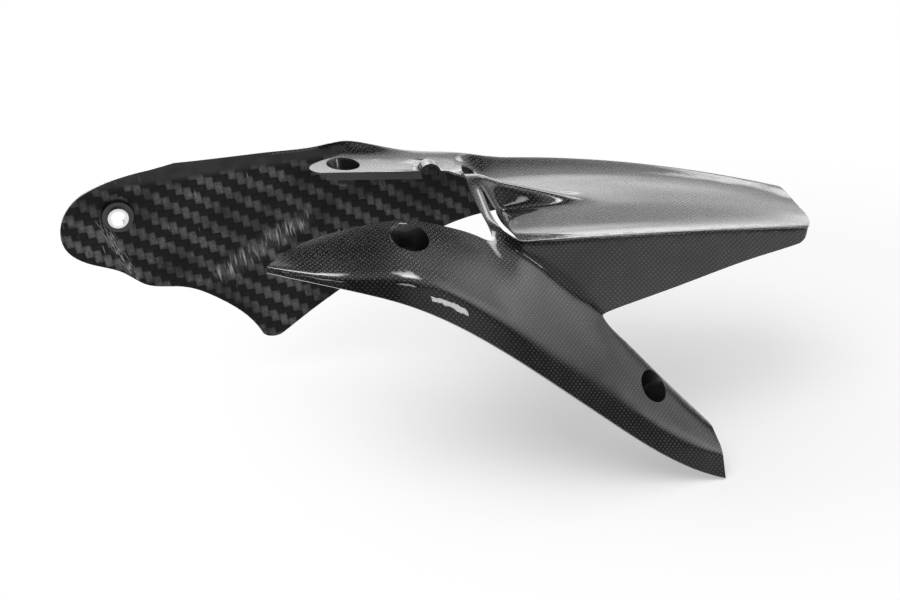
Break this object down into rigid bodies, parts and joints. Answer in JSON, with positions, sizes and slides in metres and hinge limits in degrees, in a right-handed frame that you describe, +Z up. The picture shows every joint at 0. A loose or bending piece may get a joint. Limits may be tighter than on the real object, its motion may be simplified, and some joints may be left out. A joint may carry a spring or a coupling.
{
  "type": "motorcycle rear mudguard",
  "caption": "One-piece carbon-fibre rear mudguard: a dished blade over the wheel, a chain guard sweeping down on the left and a swing-arm panel on the right, with screw cups and a sleeved eye.",
  "frame": {"origin": "centre of the bore of the metal sleeve in the panel's eye", "axes": "+X to the rear of the motorcycle, +Y to its right and out of the panel's eye, +Z up, lying as in the picture"},
  "size_m": [0.5929, 0.2627, 0.2136],
  "materials": {
    "carbon": "carbon-fibre laminate, clear gloss outside and bare twill inside",
    "sleeve_metal": "satin turned"
  },
  "bodies": {
    "root": {"mudguard_shell": "carbon", "panel_sleeve": "sleeve_metal"}
  },
  "joints": []
}
